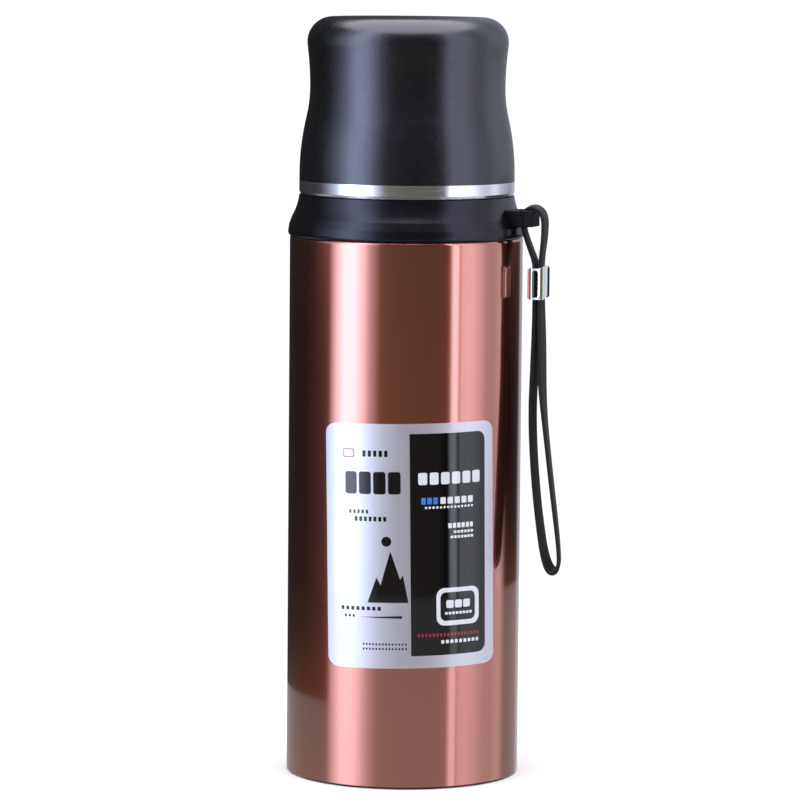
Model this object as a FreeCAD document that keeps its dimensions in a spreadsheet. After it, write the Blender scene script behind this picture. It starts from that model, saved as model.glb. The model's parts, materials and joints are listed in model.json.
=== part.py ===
import FreeCAD, Part
import math
import os
import Sketcher

# A vacuum flask with a cup that screws over a push-button stopper, and a wrist strap.
# Millimetres, +Z up, origin at the centre of the foot's underside, front towards -Y.

Vector = FreeCAD.Vector

# Driving dimensions: name, value, meaning. Heights end in _z and are measured from the foot.
DIMENSIONS = [
    ("body_radius", 40.0, "outside of the steel body"),
    ("steel_wall", 0.6, "body sheet thickness"),
    ("gap", 0.3, "clearance between pieces that move past each other"),
    ("fit", 0.08, "radial clearance of a running fit"),
    ("foot_z", 0.5, "lower edge of the steel body"),
    ("foot_round", 0.35, "rounding of that edge"),
    ("shoulder_z", 185.0, "top of the straight body"),
    ("shoulder_round", 1.2, "rounding where the body turns into its shoulder"),
    ("neck_radius", 27.4, "outside of the steel neck"),
    ("neck_base_z", 194.5, "where the shoulder becomes the neck"),
    ("mouth_z", 201.0, "top of the steel mouth"),
    ("lip", 0.6, "thickness of the mouth's rolled lip"),
    ("mouth_radius", 24.5, "clear radius of the mouth"),
    ("base_floor_z", 3.0, "top of the welded base"),
    ("pad_radius", 38.6, "silicone foot pad"),
    ("pad_top_z", 2.3, "top of the foot pad"),
    ("pad_round", 0.4, "rounding of the pad's lower edge"),
    ("plug_stem", 1.45, "stem radius of the vacuum seal plug"),
    ("plug_head", 4.5, "head radius of the vacuum seal plug"),
    ("plug_z", 1.4, "underside of the plug's head"),
    ("liner_radius", 37.0, "outside of the inner liner"),
    ("liner_wall", 0.5, "liner sheet thickness"),
    ("liner_floor_z", 6.5, "underside of the liner's dish"),
    ("dish_round", 6.0, "corner radius of the liner's dish"),
    ("liner_shoulder_z", 182.4, "top of the liner's straight part"),
    ("liner_neck_z", 191.45, "where the liner's shoulder becomes its neck"),
    ("foil", 0.15, "thickness of the heat shield foil"),
    ("getter_radius", 5.2, "getter pellet"),
    ("getter_z", 3.5, "underside of the pellet"),
    ("getter_height", 1.7, "thickness of the pellet"),
    ("getter_offset", 18.0, "pellet's distance from the axis"),
    ("label_z", 41.6, "lower edge of the label"),
    ("label_height", 83.0, "label height"),
    ("label_half", 28.15, "half of the label's width, measured straight across"),
    ("label_round", 3.5, "corner radius of the label"),
    ("label_film", 0.12, "label thickness"),
    ("label_glue", 0.03, "glue under the label"),
    ("label_stock", 60.0, "depth of the block that the label is cut from"),
    ("label_turn", 4.25, "degrees the label sits round from the front, towards +X"),
    ("label_skew", 0.95, "degrees the label leans to the left, about its middle"),
    ("collar_z", 185.3, "lower edge of the collar"),
    ("collar_seam", 39.9, "collar radius at that edge"),
    ("collar_radius", 40.6, "widest radius of the collar"),
    ("collar_bulge_z", 187.0, "height of the widest radius"),
    ("collar_bulge", 1.7, "radius of the rounding below it"),
    ("collar_hip", 40.35, "radius where the collar starts to taper"),
    ("collar_hip_z", 189.1, "height of that point"),
    ("collar_ridge", 39.3, "radius at the ridge round the taper"),
    ("collar_ridge_z", 191.9, "height of the ridge"),
    ("collar_flare", 20.0, "radius of the hollow curve above the ridge"),
    ("collar_top", 36.9, "collar radius under the cup"),
    ("collar_top_z", 199.3, "top face of the collar"),
    ("collar_bore", 27.5, "collar bore round the steel neck"),
    ("collar_lip", 26.2, "inner radius of the lip that sits on the mouth"),
    ("boss_radius", 31.2, "outside of the threaded boss under its thread"),
    ("boss_bore", 28.2, "inside of the boss"),
    ("boss_z", 213.0, "top of the boss"),
    ("bracket_z", 189.7, "underside of the strap bracket"),
    ("bracket_height", 5.6, "height of the strap bracket"),
    ("bracket_root", 37.0, "inner end of the bracket's tongue, from the axis"),
    ("bracket_out", 46.85, "outer face of the bracket, from the axis"),
    ("bracket_half", 6.15, "half of the bracket's width"),
    ("bracket_cut", 2.55, "depth of the bracket's cut corners"),
    ("bracket_side_cut", 2.5, "width of the bracket's cut corners"),
    ("bracket_round", 0.5, "rounding of the bracket's edges"),
    ("window_in", 41.1, "near side of the strap window, from the axis"),
    ("window_out", 44.9, "far side of the strap window"),
    ("window_half", 4.2, "half of the window's width"),
    ("bracket_turn", 20.0, "degrees the bracket sits round from +X, towards the front"),
    ("cup_lead", 6.0, "rise of the cup's thread per turn"),
    ("cup_tooth", 1.4, "height of the cup's thread"),
    ("cup_thread_z", 201.6, "start of the thread on the boss"),
    ("cup_boss_turns", 1.35, "turns of that thread on the boss"),
    ("cup_ring_turns", 1.0, "turns of that thread inside the cup"),
    ("stopper_lead", 5.0, "rise of the stopper's thread per turn"),
    ("stopper_tooth", 1.1, "height of the stopper's thread"),
    ("stopper_thread_z", 203.2, "start of the thread on the stopper"),
    ("stopper_turns", 1.3, "turns of that thread on the stopper"),
    ("stopper_boss_turns", 0.95, "turns of that thread inside the boss"),
    ("tooth_flank", 0.7, "height of each slope of a thread's section"),
    ("tooth_crest", 0.9, "height of a thread's flat crest"),
    ("tooth_root", 0.3, "depth of a thread's section inside its wall"),
    ("ring_z", 199.6, "lower edge of the cup"),
    ("ring_top_z", 204.3, "top of the cup's steel ring"),
    ("ring_radius", 36.9, "outside of the steel ring"),
    ("ring_wall", 0.6, "thickness of the steel ring"),
    ("ring_bevel", 0.5, "width of the polished bevel under the ring"),
    ("ring_bevel_height", 1.0, "height of that bevel"),
    ("ring_inside", 34.5, "inner edge of the ring's turned-in lip"),
    ("cup_wall", 1.6, "thickness of the cup's plastic shell"),
    ("cup_foot_z", 206.0, "top of the cup's straight foot"),
    ("cup_foot_curve", 87.6, "radius of the curve above the foot"),
    ("cup_bend", 34.59, "cup radius where its curve turns hollow"),
    ("cup_bend_z", 226.0, "height of that point"),
    ("cup_bend_curve", 43.8, "radius of the hollow curve below the waist"),
    ("cup_waist", 33.43, "narrowest cup radius"),
    ("cup_waist_z", 236.0, "height of the waist"),
    ("cup_chest_curve", 110.1, "radius of the hollow curve above the waist"),
    ("cup_chest", 34.376, "cup radius where the top rounding starts"),
    ("cup_chest_z", 250.38, "height of that point"),
    ("cup_round", 8.6, "radius of the top rounding"),
    ("cup_top", 25.85, "radius where the rounding meets the top"),
    ("cup_top_z", 260.1, "height of that point"),
    ("cup_liner_inset", 1.9, "steel cup's distance inside the plastic shell's outside"),
    ("cup_liner_wall", 0.5, "steel cup's sheet thickness"),
    ("thread_ring_radius", 34.2, "outside of the cup's thread ring"),
    ("thread_ring_z", 200.6, "underside of the thread ring"),
    ("thread_ring_top_z", 213.2, "top of the thread ring"),
    ("cup_gasket_inside", 30.5, "inner radius of the cup's gasket"),
    ("cup_gasket_outside", 33.7, "outer radius of the cup's gasket"),
    ("cup_gasket_z", 213.3, "underside of the cup's gasket"),
    ("cup_gasket_height", 1.3, "thickness of the cup's gasket"),
    ("stopper_z", 190.5, "underside of the stopper"),
    ("stopper_plug", 23.8, "radius of the stopper's plug"),
    ("stopper_core", 26.8, "radius of the stopper under its thread"),
    ("stopper_core_z", 202.5, "underside of the stopper's core"),
    ("stopper_inside", 21.0, "radius of the stopper's flow space"),
    ("stopper_floor", 2.0, "thickness of the stopper's floor"),
    ("stopper_port", 8.0, "radius of the valve port"),
    ("stopper_mouth", 24.0, "radius of the stopper's open top"),
    ("flange_z", 213.3, "underside of the stopper's flange"),
    ("flange_top_z", 215.3, "top of the stopper's flange"),
    ("flange_radius", 29.8, "radius of the stopper's flange"),
    ("groove_z", 193.0, "bottom of the stopper gasket's groove"),
    ("groove_height", 4.0, "height of that groove"),
    ("groove_radius", 22.3, "floor of that groove"),
    ("stopper_gasket_radius", 24.2, "outer radius of the stopper's gasket"),
    ("rib_count", 3, "ribs that hold the stem guide"),
    ("rib_thickness", 2.0, "thickness of each rib"),
    ("rib_z", 196.0, "underside of the ribs"),
    ("rib_height", 6.0, "height of the ribs"),
    ("guide_radius", 4.3, "outside of the stem guide"),
    ("guide_flange", 6.6, "radius of the guide's top, which the spring stands on"),
    ("guide_top_z", 206.3, "top of the stem guide"),
    ("guide_head", 1.2, "thickness of the guide's top flange"),
    ("knob_radius", 28.6, "radius of the stopper's grip"),
    ("knob_top_z", 221.5, "top of the grip"),
    ("knob_round", 1.8, "rounding of the grip's upper edge"),
    ("knob_roof", 1.8, "thickness of the grip's roof"),
    ("knob_inside", 24.2, "radius of the space under the roof"),
    ("knurl_count", 30, "finger grooves round the grip"),
    ("knurl_radius", 1.1, "radius of each finger groove"),
    ("spout_half", 8.0, "half of the width of each pouring slot"),
    ("spout_height", 3.0, "height of each pouring slot"),
    ("spout_count", 2, "pouring slots"),
    ("spout_turn", 90.0, "degrees the pouring slots sit round from +X"),
    ("button_hole", 14.3, "radius of the hole for the button"),
    ("button_radius", 13.9, "radius of the button"),
    ("button_top_z", 223.0, "top of the button at rest"),
    ("button_round", 1.0, "rounding of the button's upper edge"),
    ("button_wall", 1.4, "thickness of the button's skin"),
    ("button_skirt_z", 218.2, "lower edge of the button's skirt"),
    ("button_lip", 15.4, "radius of the lip that keeps the button in"),
    ("button_boss", 6.6, "radius of the boss that the spring pushes on"),
    ("button_boss_z", 216.0, "underside of that boss"),
    ("stem_radius", 2.2, "valve stem"),
    ("stem_end_z", 188.9, "lower end of the stem"),
    ("stem_top_z", 221.0, "upper end of the stem"),
    ("valve_radius", 11.5, "valve disc"),
    ("valve_z", 186.8, "underside of the valve disc"),
    ("valve_gasket_z", 190.3, "top of the valve's gasket"),
    ("valve_gasket_radius", 11.2, "outside of the valve's gasket"),
    ("spring_radius", 5.2, "middle of the spring's wire, from the axis"),
    ("spring_wire", 0.45, "radius of the spring's wire"),
    ("spring_pitch", 1.75, "rise of the spring per turn"),
    ("strap_width", 5.0, "flat strap width"),
    ("strap_thickness", 1.4, "flat strap thickness"),
    ("sleeve_at", 47.95, "middle of the sleeve, from the axis"),
    ("sleeve_z", 165.0, "lower end of the sleeve"),
    ("sleeve_height", 10.9, "length of the sleeve"),
    ("sleeve_depth", 6.0, "sleeve's outside, away from the axis"),
    ("sleeve_width", 6.2, "sleeve's outside, across"),
    ("sleeve_bevel", 1.0, "bevel of the sleeve's upright edges"),
    ("sleeve_inner_depth", 3.4, "sleeve's inside, away from the axis"),
    ("sleeve_inner_width", 5.2, "sleeve's inside, across"),
]

# The strap's middle line: distance from the axis and height, from inside the sleeve up over
# the bracket's bar, down through the sleeve, round the hand loop and back into the sleeve.
STRAP_ROUTE = [
    (48.75, 170.6), (48.8, 178.0), (49.95, 186.5), (49.95, 194.3), (46.0, 197.0),
    (42.05, 194.6), (42.3, 189.3), (44.6, 183.0), (47.15, 177.0), (47.15, 168.8),
    (47.3, 160.5), (47.15, 152.5), (46.75, 141.0), (46.2, 127.0), (46.8, 112.0),
    (48.3, 96.0), (50.0, 84.0), (51.0, 78.6), (52.2, 74.6), (53.7, 72.15), (55.35, 72.15),
    (56.4, 74.6), (56.3, 78.8), (55.4, 87.0), (53.5, 101.0), (51.8, 114.5), (50.3, 127.0),
    (49.5, 138.0), (49.4, 150.0), (48.9, 162.0), (48.75, 170.2),
]
CORNER_SHARE = 0.45  # share of the shorter run that a corner's arc takes up

doc = FreeCAD.newDocument("vacuum_flask")
sheet = doc.addObject("Spreadsheet::Sheet", "dims")


def fill_sheet():
    """Write the driving dimensions into the document's spreadsheet."""
    for row, (name, value, meaning) in enumerate(DIMENSIONS, start=1):
        sheet.set(f"A{row}", name)
        sheet.set(f"B{row}", str(value))
        sheet.set(f"C{row}", meaning)
        sheet.setAlias(f"B{row}", name)
    doc.recompute()


def size(name):
    """A driving dimension's value."""
    return float(sheet.get(name))


def bound(text):
    """An expression on the sheet, from text that names dimensions plainly."""
    names = {row[0] for row in DIMENSIONS}
    return " ".join(f"dims.{word}" if word in names else word for word in text.split())


def new_body(name):
    """An empty body whose label is its piece's name."""
    body = doc.addObject("PartDesign::Body", name)
    body.Label = name
    return body


def new_sketch(body, name, plane="XZ_Plane", height="0", turn=0.0):
    """A sketch on one of the body's own planes, raised to a height and turned about its normal."""
    sketch = body.newObject("Sketcher::SketchObject", f"{body.Name}_{name}")
    origin = next(f for f in body.Origin.OriginFeatures if f.Role == plane)
    sketch.AttachmentSupport = (origin, [""])
    sketch.MapMode = "FlatFace"
    sketch.AttachmentOffset = FreeCAD.Placement(Vector(), FreeCAD.Rotation(Vector(0, 0, 1), turn))
    if height != "0":
        sketch.setExpression("AttachmentOffset.Base.z", bound(height))
    return sketch


def arc_between(start, end, radius, side):
    """The short arc between two points. Its centre is left of the way for side 1, right for -1."""
    middle = (start + end) / 2
    way = end - start
    half = way.Length / 2
    left = Vector(-way.y, way.x, 0).normalize()
    centre = middle + left * side * math.sqrt(radius**2 - half**2)
    first, last = (start, end) if side > 0 else (end, start)
    circle = Part.Circle(centre, Vector(0, 0, 1), radius)
    angles = [math.atan2(p.y - centre.y, p.x - centre.x) for p in (first, last)]
    return Part.ArcOfCircle(circle, *angles)


def draw(sketch, corners):
    """Close an outline through corners and bind it to the sheet.

    A corner is (across, up), or (across, up, radius, side) where an arc leads to the next one.
    """
    points = [Vector(*[sketch.evalExpression(bound(v)) for v in c[:2]], 0) for c in corners]
    first = sketch.GeometryCount
    ends = []
    for i, corner in enumerate(corners):
        start, end = points[i], points[(i + 1) % len(points)]
        if len(corner) == 2:
            sketch.addGeometry(Part.LineSegment(start, end))
            ends.append((1, 2))
        else:
            radius = sketch.evalExpression(bound(corner[2]))
            sketch.addGeometry(arc_between(start, end, radius, corner[3]))
            ends.append((1, 2) if corner[3] > 0 else (2, 1))
    for i, corner in enumerate(corners):
        edge, following = first + i, first + (i + 1) % len(corners)
        link = (edge, ends[i][1], following, ends[(i + 1) % len(corners)][0])
        sketch.addConstraint(Sketcher.Constraint("Coincident", *link))
        for kind, axis, text in (("DistanceX", -2, corner[0]), ("DistanceY", -1, corner[1])):
            if text == "0":
                sketch.addConstraint(Sketcher.Constraint("PointOnObject", edge, ends[i][0], axis))
            else:
                value = sketch.evalExpression(bound(text))
                bind(sketch, Sketcher.Constraint(kind, edge, ends[i][0], value), text)
        if len(corner) == 4:
            value = sketch.evalExpression(bound(corner[2]))
            bind(sketch, Sketcher.Constraint("Radius", edge, value), corner[2])


def bind(sketch, constraint, text):
    """Add a constraint whose value follows the sheet."""
    index = sketch.addConstraint(constraint)
    sketch.renameConstraint(index, f"size{index}")
    sketch.setExpression(f"Constraints.size{index}", bound(text))


def circle(sketch, across, radius):
    """A circle centred on the sketch's horizontal axis."""
    values = [sketch.evalExpression(bound(text)) for text in (across, radius)]
    index = sketch.addGeometry(Part.Circle(Vector(values[0], 0, 0), Vector(0, 0, 1), values[1]))
    sketch.addConstraint(Sketcher.Constraint("PointOnObject", index, 3, -1))
    if across == "0":
        sketch.addConstraint(Sketcher.Constraint("PointOnObject", index, 3, -2))
    else:
        bind(sketch, Sketcher.Constraint("DistanceX", index, 3, values[0]), across)
    bind(sketch, Sketcher.Constraint("Radius", index, values[1]), radius)


def spin(body, name, corners, kind="Revolution"):
    """Revolve an outline about the body's Z axis, to add to it or, as a Groove, to cut it."""
    sketch = new_sketch(body, f"{name}_outline")
    draw(sketch, corners)
    feature = body.newObject(f"PartDesign::{kind}", f"{body.Name}_{name}")
    feature.Profile = sketch
    feature.ReferenceAxis = (sketch, ["V_Axis"])
    feature.Angle = 360
    doc.recompute()
    return feature


def extrude(body, name, sketch, length, kind="Pad", upward=True):
    """Pad or pocket a sketch, and make sure that it changed the solid."""
    before = body.Shape.Volume if body.Tip else 0
    feature = body.newObject(f"PartDesign::{kind}", f"{body.Name}_{name}")
    feature.Profile = sketch
    feature.setExpression("Length", bound(length))
    feature.Reversed = upward != (kind == "Pad")
    doc.recompute()
    if abs(body.Shape.Volume - before) < 1e-3:
        raise ValueError(f"{feature.Name} changed nothing")
    return feature


def repeat(body, name, feature, count):
    """Repeat a feature evenly round the body's Z axis."""
    pattern = body.newObject("PartDesign::PolarPattern", f"{body.Name}_{name}")
    pattern.Originals = [feature]
    pattern.Axis = (next(f for f in body.Origin.OriginFeatures if f.Role == "Z_Axis"), [""])
    pattern.Angle = 360
    pattern.setExpression("Occurrences", bound(count))
    body.Tip = pattern
    doc.recompute()


def soften(body, name, radius, chosen):
    """Round the edges of the body that a test of each edge picks."""
    base = body.Tip
    edges = [f"Edge{i}" for i, edge in enumerate(base.Shape.Edges, start=1) if chosen(edge)]
    fillet = body.newObject("PartDesign::Fillet", f"{body.Name}_{name}")
    fillet.Base = (base, edges)
    fillet.setExpression("Radius", bound(radius))
    doc.recompute()


def rim(radius, height):
    """A test for the circular edge about the Z axis with this radius at this height."""
    def chosen(edge):
        round_edge = isinstance(edge.Curve, Part.Circle)
        level = abs(edge.BoundBox.ZMax - height) < 1e-3 and edge.BoundBox.ZLength < 1e-3
        return round_edge and level and abs(edge.Curve.Radius - radius) < 1e-3
    return chosen


def thread(body, name, wall, tooth, start, lead, turns, side):
    """Wind a thread's ridge onto a wall: side 1 for an outside thread, -1 for an inside one."""
    sign = "+" if side > 0 else "-"
    other = "-" if side > 0 else "+"
    sketch = new_sketch(body, f"{name}_outline")
    draw(sketch, [
        (f"{wall} {other} tooth_root", start),
        (f"{wall} {sign} {tooth}", f"{start} + tooth_flank"),
        (f"{wall} {sign} {tooth}", f"{start} + tooth_flank + tooth_crest"),
        (f"{wall} {other} tooth_root", f"{start} + 2 * tooth_flank + tooth_crest"),
    ])
    ridge = body.newObject("PartDesign::AdditiveHelix", f"{body.Name}_{name}")
    ridge.Profile = sketch
    ridge.ReferenceAxis = (sketch, ["V_Axis"])
    ridge.Mode = "pitch-height-angle"
    ridge.setExpression("Pitch", bound(lead))
    ridge.setExpression("Height", bound(f"{lead} * {turns}"))
    ridge.HasBeenEdited = True
    doc.recompute()


# The steel body


def outer_shell():
    """Drawn steel wall, sloping shoulder and neck in one piece."""
    body = new_body("outer_shell")
    spin(body, "wall", [
        ("body_radius", "foot_z"),
        ("body_radius", "shoulder_z"),
        ("neck_radius", "neck_base_z"),
        ("neck_radius", "mouth_z - lip"),
        ("neck_radius - steel_wall", "mouth_z - lip"),
        ("neck_radius - steel_wall", "neck_base_z - gap"),
        ("body_radius - steel_wall", "shoulder_z - gap"),
        ("body_radius - steel_wall", "foot_z"),
    ])
    soften(body, "foot", "foot_round", rim(size("body_radius"), size("foot_z")))
    soften(body, "shoulder", "shoulder_round", rim(size("body_radius"), size("shoulder_z")))
    return body


def outer_base():
    """Welded base: a flat dish with a flange down inside the wall and a hole for the seal plug."""
    body = new_body("outer_base")
    spin(body, "dish", [
        ("plug_stem", "base_floor_z"),
        ("body_radius - steel_wall - fit", "base_floor_z"),
        ("body_radius - steel_wall - fit", "foot_z"),
        ("body_radius - steel_wall * 2 - fit", "foot_z"),
        ("body_radius - steel_wall * 2 - fit", "base_floor_z - steel_wall"),
        ("plug_stem", "base_floor_z - steel_wall"),
    ])
    return body


def base_pad():
    """Silicone pad that the flask stands on, with a hollow for the seal plug's head."""
    body = new_body("base_pad")
    spin(body, "disc", [
        ("0", "0"),
        ("pad_radius", "0"),
        ("pad_radius", "pad_top_z"),
        ("plug_head + gap", "pad_top_z"),
        ("plug_head + gap", "plug_z - fit"),
        ("0", "plug_z - fit"),
    ])
    soften(body, "edge", "pad_round", rim(size("pad_radius"), 0))
    return body


def vacuum_seal_plug():
    """Plug that closes the evacuation hole in the base."""
    body = new_body("vacuum_seal_plug")
    spin(body, "plug", [
        ("0", "plug_z"),
        ("plug_head", "plug_z"),
        ("plug_head", "base_floor_z - steel_wall"),
        ("plug_stem", "base_floor_z - steel_wall"),
        ("plug_stem", "base_floor_z + gap"),
        ("0", "base_floor_z + gap"),
    ])
    return body


def liner_tube():
    """Inner steel wall that holds the drink, up to the lip rolled over the outer neck."""
    body = new_body("liner_tube")
    spin(body, "wall", [
        ("liner_radius", "liner_floor_z + dish_round"),
        ("liner_radius", "liner_shoulder_z"),
        ("mouth_radius + liner_wall", "liner_neck_z"),
        ("mouth_radius + liner_wall", "mouth_z - lip"),
        ("neck_radius", "mouth_z - lip"),
        ("neck_radius", "mouth_z"),
        ("mouth_radius", "mouth_z"),
        ("mouth_radius", "liner_neck_z - gap"),
        ("liner_radius - liner_wall", "liner_shoulder_z - gap"),
        ("liner_radius - liner_wall", "liner_floor_z + dish_round"),
    ])
    return body


def liner_base():
    """Dished floor of the liner."""
    body = new_body("liner_base")
    spin(body, "dish", [
        ("0", "liner_floor_z"),
        ("liner_radius - dish_round", "liner_floor_z", "dish_round", 1),
        ("liner_radius", "liner_floor_z + dish_round"),
        ("liner_radius - liner_wall", "liner_floor_z + dish_round", "dish_round - liner_wall", -1),
        ("liner_radius - dish_round", "liner_floor_z + liner_wall"),
        ("0", "liner_floor_z + liner_wall"),
    ])
    return body


def heat_shield_foil():
    """Copper foil wrapped round the liner in the vacuum space."""
    body = new_body("heat_shield_foil")
    spin(body, "wrap", [
        ("liner_radius + foil", "liner_floor_z + dish_round"),
        ("liner_radius + foil * 2", "liner_floor_z + dish_round"),
        ("liner_radius + foil * 2", "liner_shoulder_z"),
        ("liner_radius + foil", "liner_shoulder_z"),
    ])
    return body


def getter_pellet():
    """Gas-absorbing pellet in the vacuum space under the liner."""
    body = new_body("getter_pellet")
    sketch = new_sketch(body, "disc", "XY_Plane", "getter_z")
    circle(sketch, "getter_offset", "getter_radius")
    extrude(body, "pellet", sketch, "getter_height")
    return body


def getter_clip():
    """Cup-shaped clip welded to the base that holds the pellet."""
    body = new_body("getter_clip")
    sketch = new_sketch(body, "disc", "XY_Plane", "base_floor_z")
    circle(sketch, "getter_offset", "getter_radius + steel_wall")
    extrude(body, "cup", sketch, "getter_height + steel_wall")
    hollow = new_sketch(body, "hollow", "XY_Plane", "getter_z - fit")
    circle(hollow, "getter_offset", "getter_radius + fit")
    extrude(body, "cavity", hollow, "getter_height + steel_wall", "Pocket")
    return body


def label():
    """Printed film wrapped onto the front of the body."""
    body = new_body("label")
    sketch = new_sketch(body, "outline", turn=size("label_skew"))
    shift = "( label_z + label_height / 2 ) * sin( label_skew )"
    sketch.setExpression("AttachmentOffset.Base.x", bound(shift))
    left, right = "0 - label_half", "label_half"
    low, high = "label_z", "label_z + label_height"
    draw(sketch, [
        (f"{left} + label_round", low),
        (f"{right} - label_round", low, "label_round", 1),
        (right, f"{low} + label_round"),
        (right, f"{high} - label_round", "label_round", 1),
        (f"{right} - label_round", high),
        (f"{left} + label_round", high, "label_round", 1),
        (left, f"{high} - label_round"),
        (left, f"{low} + label_round", "label_round", 1),
    ])
    extrude(body, "block", sketch, "label_stock")
    below, above = f"{low} - label_round", f"{high} + label_round"
    spin(body, "inside", [
        ("0", below),
        ("body_radius + label_glue", below),
        ("body_radius + label_glue", above),
        ("0", above),
    ], "Groove")
    spin(body, "outside", [
        ("body_radius + label_glue + label_film", below),
        ("label_stock + label_half", below),
        ("label_stock + label_half", above),
        ("body_radius + label_glue + label_film", above),
    ], "Groove")
    body.setExpression("Placement.Rotation.Angle", bound("label_turn"))
    return body


# The collar and its bracket


def shoulder_collar():
    """Plastic collar over the shoulder, with a boss threaded outside and inside."""
    body = new_body("shoulder_collar")
    spin(body, "ring", [
        ("collar_seam", "collar_z", "collar_bulge", 1),
        ("collar_radius", "collar_bulge_z"),
        ("collar_hip", "collar_hip_z"),
        ("collar_ridge", "collar_ridge_z", "collar_flare", -1),
        ("collar_top", "collar_top_z"),
        ("boss_radius", "collar_top_z"),
        ("boss_radius", "boss_z"),
        ("boss_bore", "boss_z"),
        ("boss_bore", "stopper_core_z - gap * 2"),
        ("collar_lip", "stopper_core_z - gap * 2"),
        ("collar_lip", "mouth_z + fit"),
        ("collar_bore", "mouth_z + fit"),
        ("collar_bore", "neck_base_z + gap"),
    ])
    thread(body, "cup_thread", "boss_radius", "cup_tooth", "cup_thread_z", "cup_lead",
           "cup_boss_turns", 1)
    thread(body, "stopper_thread", "boss_bore", "stopper_tooth",
           "stopper_thread_z + stopper_lead / 2", "stopper_lead", "stopper_boss_turns", -1)
    sketch = new_sketch(body, "bracket_pocket_outline", "XY_Plane", "bracket_z", -size("bracket_turn"))
    draw(sketch, bracket_block("collar_radius + collar_bulge"))
    extrude(body, "bracket_pocket", sketch, "bracket_height", "Pocket")
    return body


def bracket_block(end):
    """Rectangle of the bracket's tongue, from its root out to a given distance."""
    return [
        ("bracket_root", "0 - bracket_half"),
        (end, "0 - bracket_half"),
        (end, "bracket_half"),
        ("bracket_root", "bracket_half"),
    ]


def outside_bracket(edge):
    """Is this an edge of the bracket's outside, and not of its window or its root?"""
    middle = edge.CenterOfMass
    beyond = middle.x > size("window_out") + 1e-3 or abs(middle.y) > size("window_half") + 1e-3
    return beyond and middle.x > size("bracket_root") + 1e-3


def strap_bracket():
    """Moulded loop set into the collar, with a window that the strap passes down through."""
    body = new_body("strap_bracket")
    sketch = new_sketch(body, "outline", "XY_Plane", "bracket_z")
    draw(sketch, [
        ("bracket_root", "0 - bracket_half"),
        ("bracket_out - bracket_cut", "0 - bracket_half"),
        ("bracket_out", "bracket_side_cut - bracket_half"),
        ("bracket_out", "bracket_half - bracket_side_cut"),
        ("bracket_out - bracket_cut", "bracket_half"),
        ("bracket_root", "bracket_half"),
    ])
    extrude(body, "loop", sketch, "bracket_height")
    window = new_sketch(body, "window_outline", "XY_Plane", "bracket_z")
    draw(window, [
        ("window_in", "0 - window_half"),
        ("window_out", "0 - window_half"),
        ("window_out", "window_half"),
        ("window_in", "window_half"),
    ])
    extrude(body, "window", window, "bracket_height", "Pocket")
    soften(body, "edges", "bracket_round", outside_bracket)
    body.setExpression("Placement.Rotation.Angle", bound("0 - bracket_turn"))
    return body


def mouth_gasket():
    """Flat washer between the steel lip and the stopper's shoulder."""
    return washer("mouth_gasket", "mouth_radius + gap", "collar_lip - fit",
                  "mouth_z + fit", "stopper_core_z - gap")


def washer(name, inside, outside, low, high):
    """A ring with a square section."""
    body = new_body(name)
    spin(body, "ring", [(inside, low), (outside, low), (outside, high), (inside, high)])
    return body


# The cup


def cup_outline(inset):
    """The cup's curve from the top of its straight foot to the axis, moved in and down by an inset."""
    return [
        (f"ring_radius - {inset}", "cup_foot_z", "cup_foot_curve", 1),
        (f"cup_bend - {inset}", "cup_bend_z", "cup_bend_curve", -1),
        (f"cup_waist - {inset}", "cup_waist_z", "cup_chest_curve", -1),
        (f"cup_chest - {inset}", "cup_chest_z", f"cup_round - {inset}", 1),
        ("cup_top", f"cup_top_z - {inset}"),
        ("0", f"cup_top_z - {inset}"),
    ]


def backwards(corners):
    """The same open chain of corners followed the other way."""
    chain = [corners[0][:2]]
    for corner, following in zip(corners, corners[1:]):
        arc = (corner[2], -corner[3]) if len(corner) == 4 else ()
        chain.insert(0, following[:2] + arc)
    return chain


def cup_shell():
    """Plastic outside of the cup, with a spigot down inside the steel ring."""
    spigot = "ring_radius - ring_wall - fit * 2"
    body = new_body("cup_shell")
    spin(body, "wall", [
        (spigot, "ring_z + ring_wall + fit * 2"),
        (spigot, "ring_top_z + fit"),
        ("ring_radius", "ring_top_z + fit"),
        *cup_outline("0"),
        *backwards(cup_outline("cup_wall")),
        ("ring_radius - cup_wall", "ring_z + ring_wall + fit * 2"),
    ])
    return body


def cup_liner():
    """Steel lining that holds the drink when the cup is turned over."""
    inside = "( cup_liner_inset + cup_liner_wall )"
    body = new_body("cup_liner")
    spin(body, "wall", [
        ("ring_radius - cup_liner_inset", "ring_z + ring_wall + fit"),
        *cup_outline("cup_liner_inset"),
        *backwards(cup_outline(inside)),
        (f"ring_radius - {inside}", "ring_z + ring_wall + fit"),
    ])
    return body


def cup_trim_ring():
    """Bright steel ring round the cup's drinking edge, turned in underneath."""
    body = new_body("cup_trim_ring")
    spin(body, "band", [
        ("ring_inside", "ring_z"),
        ("ring_radius - ring_bevel", "ring_z"),
        ("ring_radius", "ring_z + ring_bevel_height"),
        ("ring_radius", "ring_top_z"),
        ("ring_radius - ring_wall", "ring_top_z"),
        ("ring_radius - ring_wall", "ring_z + ring_wall"),
        ("ring_inside", "ring_z + ring_wall"),
    ])
    return body


def cup_thread_ring():
    """Plastic ring inside the cup, threaded to screw onto the collar's boss."""
    bore = "boss_radius + cup_tooth + gap"
    body = washer("cup_thread_ring", bore, "thread_ring_radius", "thread_ring_z", "thread_ring_top_z")
    thread(body, "thread", bore, "cup_tooth", "cup_thread_z + cup_lead / 2", "cup_lead",
           "cup_ring_turns", -1)
    return body


def cup_gasket():
    """Silicone ring over the thread ring that seals on the boss."""
    return washer("cup_gasket", "cup_gasket_inside", "cup_gasket_outside",
                  "cup_gasket_z", "cup_gasket_z + cup_gasket_height")


# The stopper and its valve


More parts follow.
